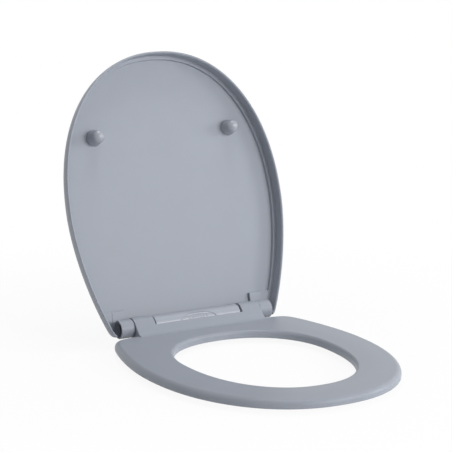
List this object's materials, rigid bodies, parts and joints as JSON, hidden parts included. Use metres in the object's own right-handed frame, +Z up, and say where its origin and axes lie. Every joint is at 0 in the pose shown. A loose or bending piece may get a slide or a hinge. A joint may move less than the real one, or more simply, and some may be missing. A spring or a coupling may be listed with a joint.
{
  "type": "toilet seat",
  "caption": "Oval toilet seat ring and lid in grey moulded plastic on a quick release hinge bar with soft close dampers and swivelling fixings.",
  "frame": {"origin": "on the bowl's rim plane, on the underside of the hinge bar's middle foot, under the hinge axis", "axes": "+X to the user's left hand side of the hinge as seen from behind it, which is right in the picture; +Y to the cistern; +Z up"},
  "size_m": [0.374, 0.5642, 0.4301],
  "materials": {
    "seat_grey": "polished moulded thermoset, blue-grey, light orange peel",
    "bar_grey": "satin moulded plastic, blue-grey",
    "lid_buffer_rubber": "soft grey rubber, satin",
    "seat_buffer_rubber": "dark rubber, matt",
    "gasket_rubber": "dark rubber sheet, matt",
    "black_nylon": "black moulded nylon, fine spark texture",
    "white_acetal": "natural white acetal, satin",
    "shaft_steel": "turned stainless steel",
    "spring_steel": "drawn spring wire",
    "screw_steel": "plated steel"
  },
  "bodies": {
    "hinge": {"hinge_housing": "bar_grey", "hinge_base": "black_nylon", "housing_screw_front_left": "screw_steel", "housing_screw_rear_left": "screw_steel", "housing_screw_front_right": "screw_steel", "housing_screw_rear_right": "screw_steel", "damper_shaft_left": "shaft_steel", "damper_shaft_right": "shaft_steel"},
    "lid": {"lid": "seat_grey", "lid_buffer_left": "lid_buffer_rubber", "lid_buffer_right": "lid_buffer_rubber", "damper_case_left": "black_nylon"},
    "seat": {"seat": "seat_grey", "seat_buffer_front_left": "seat_buffer_rubber", "seat_buffer_front_right": "seat_buffer_rubber", "seat_buffer_rear_left": "seat_buffer_rubber", "seat_buffer_rear_right": "seat_buffer_rubber", "damper_case_right": "black_nylon"},
    "button": {"release_button": "bar_grey"},
    "latch_left": {"latch_left": "white_acetal", "latch_spring_left": "spring_steel"},
    "latch_right": {"latch_right": "white_acetal", "latch_spring_right": "spring_steel"},
    "fixing_left": {"fixing_post_left": "shaft_steel", "fixing_plate_left": "white_acetal", "fixing_gasket_left": "gasket_rubber"},
    "fixing_right": {"fixing_post_right": "shaft_steel", "fixing_plate_right": "white_acetal", "fixing_gasket_right": "gasket_rubber"}
  },
  "joints": [
    {"name": "lid_hinge", "type": "hinge", "parent": "hinge", "child": "lid", "pos_m": [0, 0, 0.0264], "axis": [1, 0, 0], "range_deg": [0, 107.4]},
    {"name": "seat_hinge", "type": "hinge", "parent": "hinge", "child": "seat", "pos_m": [0, 0, 0.0264], "axis": [1, 0, 0], "range_deg": [-100, 0]},
    {"name": "release_button", "type": "slide", "parent": "hinge", "child": "button", "axis": [0, 0.8192, -0.5736], "range_m": [0, 0.0035]},
    {"name": "latch_left", "type": "slide", "parent": "hinge", "child": "latch_left", "axis": [-1, 0, 0], "range_m": [0, 0.00501], "stiffness_N_per_m": 300, "springref_m": -0.003, "deforming": ["latch_spring_left"]},
    {"name": "latch_right", "type": "slide", "parent": "hinge", "child": "latch_right", "axis": [1, 0, 0], "range_m": [0, 0.00501], "stiffness_N_per_m": 300, "springref_m": -0.003, "deforming": ["latch_spring_right"]},
    {"name": "fixing_left", "type": "hinge", "parent": "hinge", "child": "fixing_left", "pos_m": [-0.058, 0, 0], "axis": [0, 0, 1], "range_deg": [-45, 45]},
    {"name": "fixing_right", "type": "hinge", "parent": "hinge", "child": "fixing_right", "pos_m": [0.058, 0, 0], "axis": [0, 0, 1], "range_deg": [-45, 45]}
  ],
  "couplings": [
    {"joint": "latch_left", "follows": "release_button", "ratio": 1.4286},
    {"joint": "latch_right", "follows": "release_button", "ratio": 1.4286}
  ]
}
